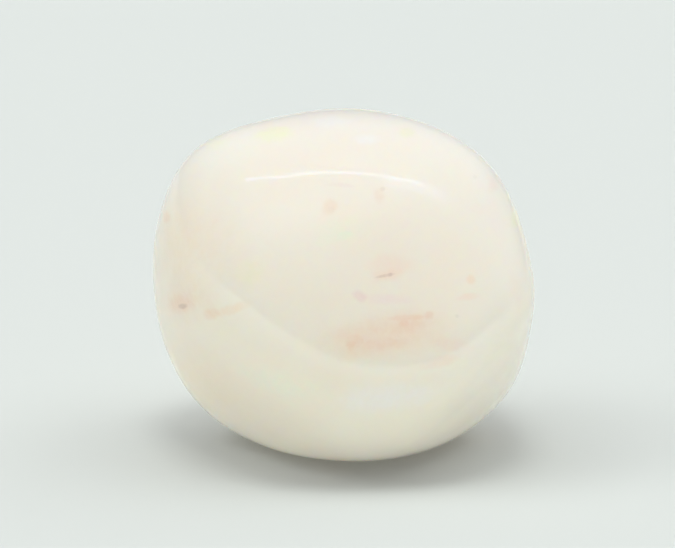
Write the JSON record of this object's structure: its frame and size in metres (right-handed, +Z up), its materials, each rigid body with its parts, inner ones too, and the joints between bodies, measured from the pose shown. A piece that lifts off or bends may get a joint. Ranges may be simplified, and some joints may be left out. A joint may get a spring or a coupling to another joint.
{
  "type": "opal gemstone",
  "caption": "Polished nugget of milky white opal with soft flats, rounded edges and faint play of colour, resting on a small flat spot.",
  "frame": {"origin": "on the surface the stone rests on, under the middle of its bounding box", "axes": "+Z up, -Y towards the viewer of the pictured side, +X to that viewer's right"},
  "size_m": [0.015, 0.0144, 0.0136],
  "materials": {
    "opal": "polished"
  },
  "bodies": {
    "root": {"opal": "opal"}
  },
  "joints": []
}
